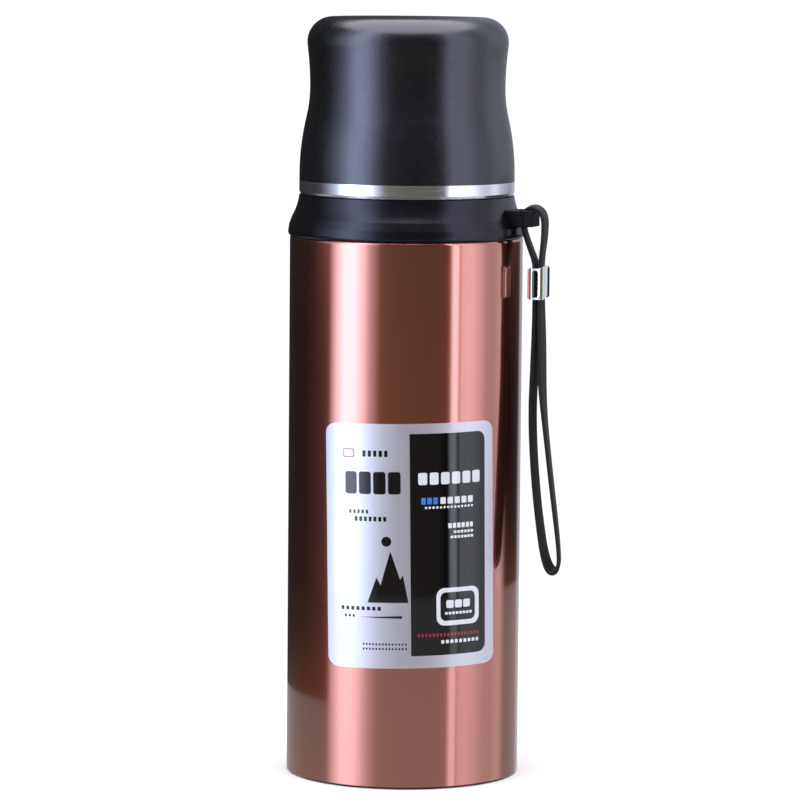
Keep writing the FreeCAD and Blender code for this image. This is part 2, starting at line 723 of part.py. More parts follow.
def stopper_body():
    """Threaded plug with a valve port in its floor and a ribbed guide for the valve's stem."""
    body = new_body("stopper_body")
    spin(body, "wall", [
        ("stopper_port", "stopper_z"),
        ("stopper_plug", "stopper_z"),
        ("stopper_plug", "groove_z"),
        ("groove_radius", "groove_z"),
        ("groove_radius", "groove_z + groove_height"),
        ("stopper_plug", "groove_z + groove_height"),
        ("stopper_plug", "stopper_core_z"),
        ("stopper_core", "stopper_core_z"),
        ("stopper_core", "flange_z"),
        ("flange_radius", "flange_z"),
        ("flange_radius", "flange_top_z"),
        ("stopper_mouth", "flange_top_z"),
        ("stopper_inside", "flange_z"),
        ("stopper_inside", "stopper_z + stopper_floor"),
        ("stopper_port", "stopper_z + stopper_floor"),
    ])
    rib = new_sketch(body, "rib_outline", "XY_Plane", "rib_z")
    draw(rib, [
        ("guide_radius - tooth_root", "0 - rib_thickness / 2"),
        ("stopper_inside + tooth_root", "0 - rib_thickness / 2"),
        ("stopper_inside + tooth_root", "rib_thickness / 2"),
        ("guide_radius - tooth_root", "rib_thickness / 2"),
    ])
    repeat(body, "ribs", extrude(body, "rib", rib, "rib_height"), "rib_count")
    spin(body, "guide", [
        ("stem_radius + fit", "rib_z"),
        ("guide_radius", "rib_z"),
        ("guide_radius", "guide_top_z - guide_head"),
        ("guide_flange", "guide_top_z - guide_head"),
        ("guide_flange", "guide_top_z"),
        ("stem_radius + fit", "guide_top_z"),
    ])
    thread(body, "thread", "stopper_core", "stopper_tooth", "stopper_thread_z", "stopper_lead",
           "stopper_turns", 1)
    return body


def stopper_gasket():
    """Silicone ring in the plug's groove that seals against the steel neck."""
    return washer("stopper_gasket", "groove_radius + fit", "stopper_gasket_radius",
                  "groove_z + fit", "groove_z + groove_height - fit")


def stopper_grip():
    """Knurled cap of the stopper, with a hole for the button and two pouring slots."""
    body = new_body("stopper_grip")
    spin(body, "skirt", [
        ("knob_inside", "flange_top_z"),
        ("knob_radius", "flange_top_z"),
        ("knob_radius", "knob_top_z"),
        ("button_hole", "knob_top_z"),
        ("button_hole", "knob_top_z - knob_roof"),
        ("knob_inside", "knob_top_z - knob_roof"),
    ])
    soften(body, "edge", "knob_round", rim(size("knob_radius"), size("knob_top_z")))
    groove = new_sketch(body, "groove_outline", "XY_Plane", "flange_top_z")
    circle(groove, "knob_radius + knurl_radius / 2", "knurl_radius")
    knurl = extrude(body, "groove", groove, "knob_top_z - knob_round - flange_top_z", "Pocket")
    repeat(body, "knurls", knurl, "knurl_count")
    slot = new_sketch(body, "slot_outline", "XY_Plane", "flange_top_z")
    draw(slot, [
        ("knob_inside - knob_roof", "0 - spout_half"),
        ("knob_radius + knob_roof", "0 - spout_half"),
        ("knob_radius + knob_roof", "spout_half"),
        ("knob_inside - knob_roof", "spout_half"),
    ])
    repeat(body, "slots", extrude(body, "slot", slot, "spout_height", "Pocket"), "spout_count")
    body.setExpression("Placement.Rotation.Angle", bound("spout_turn"))
    return body


def button_cap():
    """Push button, with a lip that keeps it in and a boss that holds the stem and the spring."""
    body = new_body("button_cap")
    spin(body, "skin", [
        ("0", "stem_top_z + fit"),
        ("stem_radius + fit", "stem_top_z + fit"),
        ("stem_radius + fit", "button_boss_z"),
        ("button_boss", "button_boss_z"),
        ("button_boss", "button_top_z - button_wall"),
        ("button_radius - button_wall", "button_top_z - button_wall"),
        ("button_radius - button_wall", "button_skirt_z"),
        ("button_lip", "button_skirt_z"),
        ("button_lip", "button_skirt_z + button_wall / 2"),
        ("button_radius", "button_skirt_z + button_wall"),
        ("button_radius", "button_top_z"),
        ("0", "button_top_z"),
    ])
    soften(body, "edge", "button_round", rim(size("button_radius"), size("button_top_z")))
    return body


def valve_stem():
    """Rod that joins the button to the valve disc."""
    body = new_body("valve_stem")
    spin(body, "rod", [
        ("0", "stem_end_z"),
        ("stem_radius", "stem_end_z"),
        ("stem_radius", "stem_top_z"),
        ("0", "stem_top_z"),
    ])
    return body


def valve_disc():
    """Disc that closes the port in the stopper's floor from below."""
    body = new_body("valve_disc")
    spin(body, "disc", [
        ("0", "valve_z"),
        ("valve_radius", "valve_z"),
        ("valve_radius", "stem_end_z"),
        ("0", "stem_end_z"),
    ])
    return body


def valve_gasket():
    """Silicone ring on the valve disc."""
    return washer("valve_gasket", "stem_radius + fit", "valve_gasket_radius",
                  "stem_end_z + fit", "valve_gasket_z")


def return_spring():
    """Coil spring round the stem, from the guide's top to the button's boss."""
    body = new_body("return_spring")
    sketch = new_sketch(body, "wire")
    circle(sketch, "spring_radius", "spring_wire")
    coil = body.newObject("PartDesign::AdditiveHelix", "return_spring_coil")
    coil.Profile = sketch
    coil.ReferenceAxis = (sketch, ["V_Axis"])
    coil.Mode = "pitch-height-angle"
    coil.setExpression("Pitch", bound("spring_pitch"))
    coil.setExpression("Height", bound("button_boss_z - guide_top_z - spring_wire * 2 - fit * 2"))
    coil.HasBeenEdited = True
    body.setExpression("Placement.Base.z", bound("guide_top_z + spring_wire + fit"))
    doc.recompute()
    return body


# The wrist strap


def strap_sleeve():
    """Crimped steel sleeve that holds the strap's two sides together."""
    body = new_body("strap_sleeve")
    near, far = "sleeve_at - sleeve_depth / 2", "sleeve_at + sleeve_depth / 2"
    side = "sleeve_width / 2"
    sketch = new_sketch(body, "outline", "XY_Plane", "sleeve_z")
    draw(sketch, [
        (f"{near} + sleeve_bevel", f"0 - {side}"),
        (f"{far} - sleeve_bevel", f"0 - {side}"),
        (far, f"sleeve_bevel - {side}"),
        (far, f"{side} - sleeve_bevel"),
        (f"{far} - sleeve_bevel", side),
        (f"{near} + sleeve_bevel", side),
        (near, f"{side} - sleeve_bevel"),
        (near, f"sleeve_bevel - {side}"),
    ])
    extrude(body, "block", sketch, "sleeve_height")
    hole = new_sketch(body, "hole_outline", "XY_Plane", "sleeve_z")
    draw(hole, [
        ("sleeve_at - sleeve_inner_depth / 2", "0 - sleeve_inner_width / 2"),
        ("sleeve_at + sleeve_inner_depth / 2", "0 - sleeve_inner_width / 2"),
        ("sleeve_at + sleeve_inner_depth / 2", "sleeve_inner_width / 2"),
        ("sleeve_at - sleeve_inner_depth / 2", "sleeve_inner_width / 2"),
    ])
    extrude(body, "hole", hole, "sleeve_height", "Pocket")
    body.setExpression("Placement.Rotation.Angle", bound("0 - bracket_turn"))
    return body


def strap_path():
    """Straight runs of the strap's route joined by tangent arcs, and the arcs' radii."""
    points = [Vector(across, 0, up) for across, up in STRAP_ROUTE]
    edges, radii, leaving = [], [], points[0]
    for before, corner, after in zip(points, points[1:], points[2:]):
        back, on = (before - corner), (after - corner)
        reach = CORNER_SHARE * min(back.Length, on.Length)
        half_turn = (math.pi - back.getAngle(on)) / 2
        radii.append(reach / math.tan(half_turn))
        back.normalize()
        on.normalize()
        start, end = corner + back * reach, corner + on * reach
        depth = radii[-1] * (1 / math.cos(half_turn) - 1)
        middle = corner + (back + on).normalize() * depth
        edges.append(Part.LineSegment(leaving, start).toShape())
        edges.append(Part.Arc(start, middle, end).toShape())
        leaving = end
    edges.append(Part.LineSegment(leaving, points[-1]).toShape())
    return Part.Wire(edges), radii


def wrist_strap():
    """One flat strap swept along its route, both ends meeting inside the sleeve."""
    path, radii = strap_path()
    width, thickness = size("strap_width"), size("strap_thickness")
    start = path.Edges[0].valueAt(0)
    along = path.Edges[0].tangentAt(0)
    across = along.cross(Vector(0, 1, 0)) * (thickness / 2)
    side = Vector(0, width / 2, 0)
    corners = [start + across + side, start - across + side, start - across - side, start + across - side]
    section = Part.makePolygon(corners + corners[:1])
    strap = doc.addObject("Part::Feature", "wrist_strap")
    strap.Label = "wrist_strap"
    strap.Shape = path.makePipeShell([section], True, False)
    strap.Placement = FreeCAD.Placement(Vector(), FreeCAD.Rotation(Vector(0, 0, 1), -size("bracket_turn")))
    print("strap radii mm:", [round(radius, 1) for radius in radii])
    print(f"strap length {path.Length:.1f} mm, volume {strap.Shape.Volume:.0f} mm3,",
          f"section x length {path.Length * width * thickness:.0f} mm3")
    return strap


def save(pieces):
    """Check every object and every piece's shape, then write one STEP file per piece."""
    doc.recompute()
    bad = [o.Name for o in doc.Objects if {"Invalid", "Error"} & set(o.State)]
    for piece in pieces:
        shape = piece.Shape
        if shape.isNull() or not shape.isValid() or not shape.Solids:
            bad.append(piece.Label)
    if bad:
        raise RuntimeError(f"failed: {bad}")
    os.makedirs("parts", exist_ok=True)
    for piece in pieces:
        piece.Shape.exportStep(f"parts/{piece.Label}.step")
        print(f"{piece.Label}: {len(piece.Shape.Solids)} solid, {piece.Shape.Volume:.0f} mm3")


fill_sheet()
save([make() for make in (
    outer_shell, outer_base, base_pad, vacuum_seal_plug, liner_tube, liner_base,
    heat_shield_foil, getter_pellet, getter_clip, label, shoulder_collar, strap_bracket,
    mouth_gasket, cup_shell, cup_liner, cup_trim_ring, cup_thread_ring, cup_gasket,
    stopper_body, stopper_gasket, stopper_grip, button_cap, valve_stem, valve_disc,
    valve_gasket, return_spring, strap_sleeve, wrist_strap,
)])
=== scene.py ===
import json
import math

import bmesh
import bpy
from mathutils import Matrix, Vector


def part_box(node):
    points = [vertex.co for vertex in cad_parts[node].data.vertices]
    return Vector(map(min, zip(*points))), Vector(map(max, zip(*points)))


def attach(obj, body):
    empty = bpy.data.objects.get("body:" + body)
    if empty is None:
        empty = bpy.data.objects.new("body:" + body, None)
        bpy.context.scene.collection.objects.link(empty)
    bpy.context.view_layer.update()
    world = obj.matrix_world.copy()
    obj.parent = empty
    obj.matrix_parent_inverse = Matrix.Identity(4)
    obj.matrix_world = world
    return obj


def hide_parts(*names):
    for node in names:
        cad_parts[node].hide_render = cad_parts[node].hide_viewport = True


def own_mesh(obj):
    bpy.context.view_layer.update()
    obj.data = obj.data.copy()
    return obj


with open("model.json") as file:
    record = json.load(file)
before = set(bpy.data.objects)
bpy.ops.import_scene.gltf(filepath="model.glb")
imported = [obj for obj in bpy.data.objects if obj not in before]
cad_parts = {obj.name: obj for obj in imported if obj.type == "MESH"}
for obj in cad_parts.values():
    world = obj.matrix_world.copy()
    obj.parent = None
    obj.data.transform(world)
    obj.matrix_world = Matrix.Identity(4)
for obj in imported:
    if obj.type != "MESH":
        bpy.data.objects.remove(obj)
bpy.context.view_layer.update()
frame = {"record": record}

# A vacuum flask with a screw-on cup and a wrist strap. Metres, +Z up, front towards -Y.

MM = 0.001
LABEL_TURN = math.radians(4.25)     # the label sits this far round from the front, towards +X
LABEL_SKEW = math.radians(0.95)     # and leans this far to the left
BRACKET_TURN = math.radians(20.0)   # the strap hangs this far round from +X, towards the front


def link(obj):
    """Put an object in the scene."""
    bpy.context.scene.collection.objects.link(obj)
    return obj


def mesh_object(name, bm, material, smooth=True):
    """A mesh object from a bmesh, which is freed."""
    mesh = bpy.data.meshes.new(name)
    bm.to_mesh(mesh)
    bm.free()
    for polygon in mesh.polygons:
        polygon.use_smooth = smooth
    mesh.materials.append(material)
    return link(bpy.data.objects.new(name, mesh))


# Camera

CAMERA_PLACE = (-0.00174, -1.5146, 0.284)
CAMERA_PITCH = 5.86   # degrees below the horizon
CAMERA_ROLL = 0.5     # degrees
CAMERA_LENS = 198.9   # millimetres
CAMERA_SENSOR = 36    # millimetres


def add_camera():
    """A long lens looking slightly down at the front."""
    data = bpy.data.cameras.new("camera")
    data.lens = CAMERA_LENS
    data.sensor_width = CAMERA_SENSOR
    camera = link(bpy.data.objects.new("camera", data))
    tilt = Matrix.Rotation(math.radians(90 - CAMERA_PITCH), 4, "X")
    roll = Matrix.Rotation(math.radians(CAMERA_ROLL), 4, "Z")
    camera.matrix_world = Matrix.Translation(CAMERA_PLACE) @ tilt @ roll
    bpy.context.scene.camera = camera


# Studio: a round table inside a ring of soft boxes and flags

TABLE_RADIUS = 0.48
STUDIO_HEIGHT = 0.75
STUDIO_SIDES = 128
STUDIO_GAIN = 5.0    # brightness of a stop of 1
FLAG_HEIGHT = 0.17   # top of the dark flags at the far left and behind the flask
IMAGE_GAIN = 2.4     # brightness of a stop of 1 in the studio's painted reflection in the table
IMAGE_TABLE_GLOW = 0.14    # painted glow of the lit table, added to the stops there
IMAGE_DEPTH = 0.3
IMAGE_NEAR = 0.049   # depth down to which the image's far left has less painted table glow, so its painted reflection is darker there
NEAR_TABLE_GLOW = 0.008    # that painted table glow
FAR_LEFT = -76       # degrees where it ends
OVERHEAD_HEIGHT = 1.1
OVERHEAD_SIZE = 1.8
OVERHEAD_POWER = 32   # watts
ROOM_COLOUR = (0.05, 0.05, 0.055, 1)
SKY_STRENGTH = 1.05   # enough for pure white
# Round the ring: degrees from the camera towards +X, brightness, and warmth of its colour.
STUDIO_STOPS = [
    (-180, 0.004, 0), (-110, 0.005, 0), (-88, 0.012, 0), (-78, 0.01, -0.7), (-72, 0.25, -0.7),
    (-61, 0.64, -0.7), (-50, 0.64, -0.7), (-42, 0.42, -0.7), (-34, 0.16, -0.5), (-24, 0.035, 1),
    (34, 0.026, 1), (42, 0.0, 0), (46, 0.46, -0.3), (50.5, 0.46, -0.3), (51.5, 0.14, -0.3),
    (53.5, 0.14, -0.3), (54.5, 0.27, -0.3), (64, 0.29, -0.3), (74, 0.22, -0.3), (84, 0.13, -0.3),
    (94, 0.12, -0.3), (106, 0.19, -0.3), (116, 0.0, 0), (138, 0.004, 0), (147, 0.01, 0),
    (151, 0.09, -0.5), (172, 0.09, -0.5), (180, 0.004, 0),
]
# Above the flags, most stops stay in these spans of degrees, and the others are these.
TALL_SPANS = [(-181, -147), (-78, -30), (40, 116), (147, 181)]
UPPER_STOPS = [
    *(stop for stop in STUDIO_STOPS if any(low < stop[0] < high for low, high in TALL_SPANS)),
    (-100, 0.01, 0), (-90, 0.07, -0.7), (-78, 0.19, -0.7), (-24, 0.02, 0), (34, 0.015, 0),
    (120, 0.15, -0.3), (140, 0.09, -0.3),
]
WARM = Vector((0.10, -0.09, -0.42))   # how a stop's colour changes for a warmth of 1


def add_table():
    """Matte white round table top. The flask reflects add_table_image(), a painted reflection of the
    studio and the lit table, in its place.
    """
    bm = bmesh.new()
    bmesh.ops.create_circle(bm, cap_ends=True, radius=TABLE_RADIUS, segments=STUDIO_SIDES)
    finish = Finish("table_white", Base_Color=(0.9, 0.9, 0.9, 1), Roughness=0.6)
    table = mesh_object("table", bm, finish.material, smooth=False)
    table.visible_glossy = False


def add_studio(name, low, high, material):
    """A band round the table's edge that lights the flask but that the camera never sees."""
    bm = bmesh.new()
    rims = []
    for height in (low, high):
        rims.append([bm.verts.new((TABLE_RADIUS * math.cos(a), TABLE_RADIUS * math.sin(a), height))
                     for a in (math.tau * i / STUDIO_SIDES for i in range(STUDIO_SIDES))])
    for i in range(STUDIO_SIDES):
        after = (i + 1) % STUDIO_SIDES
        bm.faces.new((rims[0][i], rims[0][after], rims[1][after], rims[1][i]))
    studio = mesh_object(name, bm, material, smooth=False)
    studio.visible_camera = False
    studio.visible_shadow = False
    return studio


def add_table_image():
    """Painted reflection of the studio in the table, as glowing bands below the table, with painted
    glow of the lit table over it. The nearest part of its far left has less painted glow and is darker.
    """
    # Painted glow of the lit table goes over every stop, with less of it at the near far left, which
    # makes a painted darker patch.
    far_stops = [with_table_glow(stop, IMAGE_TABLE_GLOW) for stop in STUDIO_STOPS]
    near_stops = [with_table_glow(stop, NEAR_TABLE_GLOW if stop[0] < FAR_LEFT else IMAGE_TABLE_GLOW) for stop in STUDIO_STOPS]
    for name, low, high, stops in (("near", -IMAGE_NEAR, 0, near_stops),
                                   ("far", -IMAGE_DEPTH, -IMAGE_NEAR, far_stops)):
        image = add_studio(f"image_{name}", low, high, ring_light(f"{name}_light", stops, IMAGE_GAIN))
        image.visible_diffuse = False


def add_overhead():
    """A square soft light above the flask that the camera doesn't see."""
    data = bpy.data.lights.new("overhead", "AREA")
    data.size = OVERHEAD_SIZE
    data.energy = OVERHEAD_POWER
    light = link(bpy.data.objects.new("overhead", data))
    light.location = (0, 0, OVERHEAD_HEIGHT)
    light.visible_camera = False


def light_world():
    """A dim room, white where the camera looks past the table."""
    world = bpy.data.worlds.new("world")
    bpy.context.scene.world = world
    world.use_nodes = True
    tree = world.node_tree
    room = tree.nodes["Background"]
    room.inputs["Color"].default_value = ROOM_COLOUR
    white = tree.nodes.new("ShaderNodeBackground")
    white.inputs["Color"].default_value = (1, 1, 1, 1)
    white.inputs["Strength"].default_value = SKY_STRENGTH
    path = tree.nodes.new("ShaderNodeLightPath")
    mix = tree.nodes.new("ShaderNodeMixShader")
    tree.links.new(path.outputs["Is Camera Ray"], mix.inputs[0])
    tree.links.new(room.outputs[0], mix.inputs[1])
    tree.links.new(white.outputs[0], mix.inputs[2])
    tree.links.new(mix.outputs[0], tree.nodes["World Output"].inputs["Surface"])


# Node helpers

NOISE_LOW = 0.3    # most of a noise's values lie between these
NOISE_HIGH = 0.7


class Finish:
    """A material being made: its Principled shader and short ways to add nodes."""

    def __init__(self, name, **values):
        self.material = bpy.data.materials.new(name)
        self.material.use_nodes = True
        self.tree = self.material.node_tree
        self.shader = self.tree.nodes["Principled BSDF"]
        for socket, value in values.items():
            self.shader.inputs[socket.replace("_", " ")].default_value = value

    def add(self, kind, values=None, **settings):
        """A node with its settings, and its inputs set to a value or linked to an output."""
        node = self.tree.nodes.new("ShaderNode" + kind)
        for key, value in settings.items():
            setattr(node, key, value)
        for socket, value in (values or {}).items():
            if isinstance(value, bpy.types.NodeSocket):
                self.tree.links.new(value, node.inputs[socket])
            else:
                node.inputs[socket].default_value = value
        return node

    def feed(self, socket, output):
        """Link an output to one of the shader's sockets."""
        self.tree.links.new(output, self.shader.inputs[socket])

    def noise(self, scale, detail, roughness=0.5, stretch=(1, 1, 1)):
        """Noise in object space, with its scale in waves per metre and stretched along axes."""
        place = self.add("TexCoord").outputs["Object"]
        spread = self.add("Mapping", {"Vector": place, "Scale": stretch})
        texture = self.add("TexNoise", {"Vector": spread.outputs[0], "Scale": scale,
                                        "Detail": detail, "Roughness": roughness})
        return texture.outputs["Fac"]

    def between(self, factor, low, high):
        """A number that goes from low to high over the middle of a noise's range."""
        spread = self.add("MapRange", {"Value": factor, "From Min": NOISE_LOW, "From Max": NOISE_HIGH,
                                       "To Min": low, "To Max": high})
        return spread.outputs[0]

    def blend(self, factor, first, second):
        """A colour that follows a factor from the first to the second colour."""
        mix = self.add("Mix", {"Factor": factor}, data_type="RGBA")
        mix.inputs[6].default_value = (*first, 1)
        mix.inputs[7].default_value = (*second, 1)
        return mix.outputs[2]

    def bump(self, height, distance):
        """Surface relief from a height, its depth in metres."""
        relief = self.add("Bump", {"Height": height, "Distance": distance})
        self.feed("Normal", relief.outputs[0])


# Light of the studio


def with_table_glow(stop, table_glow):
    """A stop as the table shows it, with painted glow of the lit table added over it."""
    degrees, level, warmth = stop
    return degrees, level + table_glow, warmth * level / (level + table_glow)


def ring_light(name, stops, gain):
    """Light whose colour follows the stops round the ring."""
    finish = Finish(name)
    split = finish.add("SeparateXYZ", {0: finish.add("TexCoord").outputs["Object"]})
    front = finish.add("Math", {0: split.outputs["Y"], 1: -1.0}, operation="MULTIPLY")
    turn = finish.add("Math", {0: split.outputs["X"], 1: front.outputs[0]}, operation="ARCTAN2")
    share = finish.add("MapRange", {"Value": turn.outputs[0], "From Min": -math.pi,
                                    "From Max": math.pi})
    ramp = finish.add("ValToRGB", {"Fac": share.outputs[0]})
    elements = ramp.color_ramp.elements
    for degrees, level, warmth in stops:
        if degrees == -180:
            stop = elements[0]
        elif degrees == 180:
            stop = elements[-1]
        else:
            stop = elements.new((degrees + 180) / 360)
        stop.color = (*(level * (1 + warmth * change) for change in WARM), 1)
    glow = finish.add("Emission", {"Color": ramp.outputs[0], "Strength": gain})
    finish.tree.links.new(glow.outputs[0], finish.tree.nodes["Material Output"].inputs["Surface"])
    return finish.material


# Finishes of the object

FINE_GRAIN = 4500        # waves per metre of a smooth plastic's grain
RUBBER_GRAIN = 2500
GRAIN_DEPTH = 0.00001
BRUSH_DEPTH = 0.000003
QUARTER_TURN = 0.25      # turns a brushed metal's stretched highlight across its lines
WEAVE_WAVES = 500.0      # waves per metre
WEAVE_DEPTH = 0.00012


def brushed(finish, low, high):
    """Fine lines round the Z axis in a metal's roughness, from low to high, and its relief."""
    tangent = finish.add("Tangent", direction_type="RADIAL", axis="Z")
    finish.feed("Tangent", tangent.outputs[0])
    lines = finish.noise(60, 3, 0.6, (1, 1, 160))
    finish.feed("Roughness", finish.between(lines, low, high))
    finish.bump(lines, BRUSH_DEPTH)


def copper_lacquer():
    """Brushed steel under transparent copper-rose lacquer."""
    finish = Finish("copper_lacquer_finish", Metallic=1.0, Anisotropic=0.5,
                    Anisotropic_Rotation=QUARTER_TURN, Coat_Weight=1.0, Coat_Roughness=0.05,
                    Coat_IOR=2.4)
    brushed(finish, 0.20, 0.27)
    cloud = finish.noise(40, 3)
    finish.feed("Base Color", finish.blend(cloud, (0.58, 0.13, 0.075), (0.54, 0.12, 0.068)))
    return finish.material


def steel(name, colour, low, high):
    """Brushed stainless steel, its roughness from low to high."""
    finish = Finish(name, Metallic=1.0, Base_Color=(*colour, 1), Anisotropic=0.6,
                    Anisotropic_Rotation=QUARTER_TURN)
    brushed(finish, low, high)
    return finish.material


def chrome(name, colour, roughness=0.08):
    """Bright plating with faint scratches."""
    finish = Finish(name, Metallic=1.0, Base_Color=(*colour, 1))
    wear = finish.noise(900, 4)
    finish.feed("Roughness", finish.between(wear, roughness, roughness + 0.08))
    finish.bump(finish.noise(260, 2), 0.00002)
    return finish.material


def plastic(name, colour, low, high, grain=FINE_GRAIN, depth=GRAIN_DEPTH, **more):
    """Moulded plastic or rubber with a grain, its roughness from low to high."""
    finish = Finish(name, **more)
    cloud = finish.noise(55, 3)
    light = tuple(c * 1.25 for c in colour)
    finish.feed("Base Color", finish.blend(cloud, colour, light))
    finish.feed("Roughness", finish.between(finish.noise(220, 4), low, high))
    finish.bump(finish.noise(grain, 2), depth)
    return finish.material


def label_film():
    """Glossy clear coat over silvery printed film."""
    finish = Finish("label_silver", Metallic=0.85, Coat_Weight=1.0, Coat_Roughness=0.04)
    cloud = finish.noise(30, 2)
    finish.feed("Base Color", finish.blend(cloud, (0.71, 0.69, 0.79), (0.73, 0.71, 0.81)))
    finish.feed("Roughness", finish.between(finish.noise(150, 3), 0.44, 0.50))
    finish.bump(finish.noise(45, 1), 0.000006)
    return finish.material


def ink(name, colour):
    """Print under the film's clear coat."""
    finish = Finish(name, Specular_IOR_Level=0.0, Coat_Weight=1.0, Coat_Roughness=0.04,
                    Coat_IOR=1.58)
    grain = finish.noise(700, 3)
    finish.feed("Base Color", finish.blend(grain, colour, tuple(c * 1.2 for c in colour)))
    finish.feed("Roughness", finish.between(grain, 0.3, 0.4))
    return finish.material


def webbing():
    """Tight flat weave of a limp strap, following the strap's own length and width."""
    finish = Finish("webbing", Sheen_Weight=0.06, Sheen_Roughness=0.4)
    place = finish.add("UVMap").outputs[0]
    waves = []
    for turn in (45, -45):
        spread = finish.add("Mapping", {"Vector": place, "Rotation": (0, 0, math.radians(turn))})
        wave = finish.add("TexWave", {"Vector": spread.outputs[0], "Scale": WEAVE_WAVES})
        waves.append(wave.outputs["Fac"])
    weave = finish.add("Math", {0: waves[0], 1: waves[1]}, operation="MULTIPLY").outputs[0]
    fuzz = finish.noise(1500, 3)
    finish.feed("Base Color", finish.blend(weave, (0.004, 0.004, 0.005), (0.012, 0.012, 0.014)))
    finish.feed("Roughness", finish.between(fuzz, 0.55, 0.75))
    finish.bump(weave, WEAVE_DEPTH)
    return finish.material


def dress_nodes():
    """Give every CAD node the finish of its slot in the record, and return them by slot."""
    finishes = {
        "copper_lacquer": copper_lacquer(),
        "raw_steel": steel("raw_steel_finish", (0.58, 0.58, 0.60), 0.3, 0.4),
        "liner_steel": steel("liner_steel_finish", (0.66, 0.66, 0.67), 0.22, 0.32),
        "brushed_ring": steel("ring_steel_finish", (0.86, 0.86, 0.92), 0.2, 0.28),
        "sleeve_chrome": chrome("sleeve_chrome_finish", (0.85, 0.85, 0.86)),
        "spring_steel": chrome("spring_steel_finish", (0.7, 0.7, 0.7), 0.15),
        "copper_foil": chrome("copper_foil_finish", (0.80, 0.42, 0.28), 0.18),
        "getter_alloy": plastic("getter_finish", (0.2, 0.2, 0.21), 0.7, 0.9, grain=3000,
                                depth=0.00003, Metallic=0.6),
        "solder_glass": plastic("solder_finish", (0.12, 0.14, 0.12), 0.1, 0.2, grain=300),
        "soft_touch_black": plastic("soft_touch_finish", (0.0015, 0.0015, 0.0015), 0.25, 0.30,
                                    grain=6000, IOR=1.6, Specular_IOR_Level=1.0,
                                    Specular_Tint=(0.70, 0.68, 0.82, 1)),
        "black_plastic": plastic("collar_finish", (0.002, 0.002, 0.003), 0.23, 0.29, IOR=1.55,
                                 Specular_Tint=(0.73, 0.70, 0.90, 1)),
        "grey_plastic": plastic("grey_finish", (0.16, 0.16, 0.17), 0.35, 0.45),
        "black_silicone": plastic("black_silicone_finish", (0.02, 0.02, 0.02), 0.6, 0.7,
                                  grain=RUBBER_GRAIN),
        "clear_silicone": plastic("clear_silicone_finish", (0.62, 0.62, 0.60), 0.4, 0.5,
                                  grain=RUBBER_GRAIN, Subsurface_Weight=0.4,
                                  Subsurface_Scale=0.002),
        "label_film": label_film(),
        "strap_webbing": webbing(),
    }
    for entry in frame["record"]["materials"]:
        bpy.data.materials[entry["slot"]].user_remap(finishes[entry["slot"]])
    dull = plastic("bracket_finish", (0.004, 0.004, 0.005), 0.34, 0.42, Specular_IOR_Level=0.12)
    for place in bpy.data.objects["strap_bracket"].material_slots:
        place.material = dull
    return finishes


def squeeze_spring():
    """Give the return spring its own copy of its mesh."""
    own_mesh(bpy.data.objects["return_spring"])


# Label print: flat shapes on the film, in millimetres from the middle of its lower edge

LABEL_MIDDLE = (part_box("label")[0].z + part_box("label")[1].z) / 2
LABEL_HEIGHT = 83.0        # millimetres
LABEL_RADIUS = 0.04015     # outside of the film
PRINT_STEP = 0.00002       # height of each layer of print above the one below
PRINT_SUNK = 1.5           # steps from a print's front to its back
BEND_STEP = 1.0            # millimetres between a shape's bends round the body
PRINT_CORNER = math.radians(30)   # edges sharper than this stay sharp


def block(left, low, right, high, round_left=0.3, round_right=0.3):
    """Outline of a block with rounded corners, in millimetres."""
    outline = []
    corners = [(left, low, round_left, 180), (right, low, round_right, 270),
               (right, high, round_right, 0), (left, high, round_left, 90)]
    for across, up, radius, start in corners:
        centre_x = across + (radius if across == left else -radius)
        centre_y = up + (radius if up == low else -radius)
        for turn in (0, 22.5, 45, 67.5, 90):
            angle = math.radians(start + turn)
            outline.append((centre_x + radius * math.cos(angle), centre_y + radius * math.sin(angle)))
    return outline


def dashes(left, low, right, high, count, gap=0.25):
    """A row of blocks, such as a line of small print."""
    pitch = (right - left) / count
    width = pitch * (1 - gap)
    corner = min(width, high - low) * 0.2
    return [block(left + i * pitch, low, left + i * pitch + width, high, corner, corner)
            for i in range(count)]


def print_on_label(name, outlines, material, layer=1):
    """Thin solid print that follows the film round the body."""
    bm = bmesh.new()
    for outline in outlines:
        bm.faces.new([bm.verts.new((x * MM, 0, z * MM)) for x, z in outline])
    left = min(v.co.x for v in bm.verts)
    right = max(v.co.x for v in bm.verts)
    cut = math.ceil(left / (BEND_STEP * MM)) * BEND_STEP * MM
    while cut < right:
        everything = bm.verts[:] + bm.edges[:] + bm.faces[:]
        bmesh.ops.bisect_plane(bm, geom=everything, plane_co=(cut, 0, 0), plane_no=(1, 0, 0))
        cut += BEND_STEP * MM
    # The front is made at y = -1 and the back at y = 0, and then both are bent round the body.
    front = bmesh.ops.extrude_face_region(bm, geom=bm.faces[:])["geom"]
    bmesh.ops.translate(bm, verts=[v for v in front if isinstance(v, bmesh.types.BMVert)],
                        vec=(0, -1, 0))
    bmesh.ops.recalc_face_normals(bm, faces=bm.faces)
    for vert in bm.verts:
        sunk = PRINT_SUNK * (1 + vert.co.y)
        radius = LABEL_RADIUS + PRINT_STEP * (layer - sunk)
        up = vert.co.z - LABEL_HEIGHT * MM / 2
        across = vert.co.x * math.cos(LABEL_SKEW) - up * math.sin(LABEL_SKEW)
        height = LABEL_MIDDLE + vert.co.x * math.sin(LABEL_SKEW) + up * math.cos(LABEL_SKEW)
        turn = LABEL_TURN + across / LABEL_RADIUS
        vert.co = (radius * math.sin(turn), -radius * math.cos(turn), height)
    piece = mesh_object(name, bm, material)
    piece.data.set_sharp_from_angle(angle=PRINT_CORNER)
    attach(piece, "flask")


